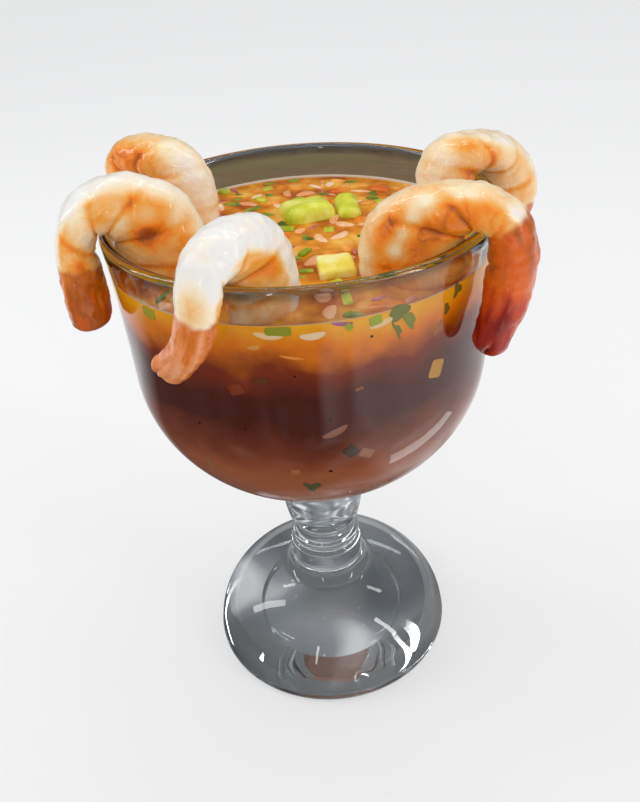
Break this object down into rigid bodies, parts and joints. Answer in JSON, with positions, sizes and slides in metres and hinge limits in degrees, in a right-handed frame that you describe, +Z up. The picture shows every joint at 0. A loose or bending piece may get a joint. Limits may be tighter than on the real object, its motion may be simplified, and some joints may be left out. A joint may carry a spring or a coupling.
{
  "type": "shrimp cocktail in a goblet",
  "caption": "Stemmed goblet of tomato broth with avocado and a yellow cube afloat, and cooked shrimps hooked over the rim; holds and serves a cold starter.",
  "frame": {"origin": "middle of the foot's flat underside, on the glass's axis", "axes": "+Z up along the glass's axis, which is the longest extent; +X to the right and -Y towards the viewer of the pictured side"},
  "size_m": [0.1457, 0.1245, 0.1944],
  "materials": {
    "clear_glass": "clear pressed glass, smooth and glossy",
    "tomato_broth": "wet, cloudy orange-brown broth",
    "avocado": "soft, slightly wet cut flesh",
    "yellow_cube": "soft, slightly wet",
    "cooked_shrimp": "wet, satin cooked flesh"
  },
  "bodies": {
    "root": {"glass": "clear_glass", "broth": "tomato_broth", "avocado_wedge": "avocado", "avocado_slice": "avocado", "yellow_cube": "yellow_cube", "shrimp_left_front": "cooked_shrimp", "shrimp_left_back": "cooked_shrimp", "shrimp_front": "cooked_shrimp", "shrimp_right_front": "cooked_shrimp", "shrimp_right_back": "cooked_shrimp"}
  },
  "joints": []
}
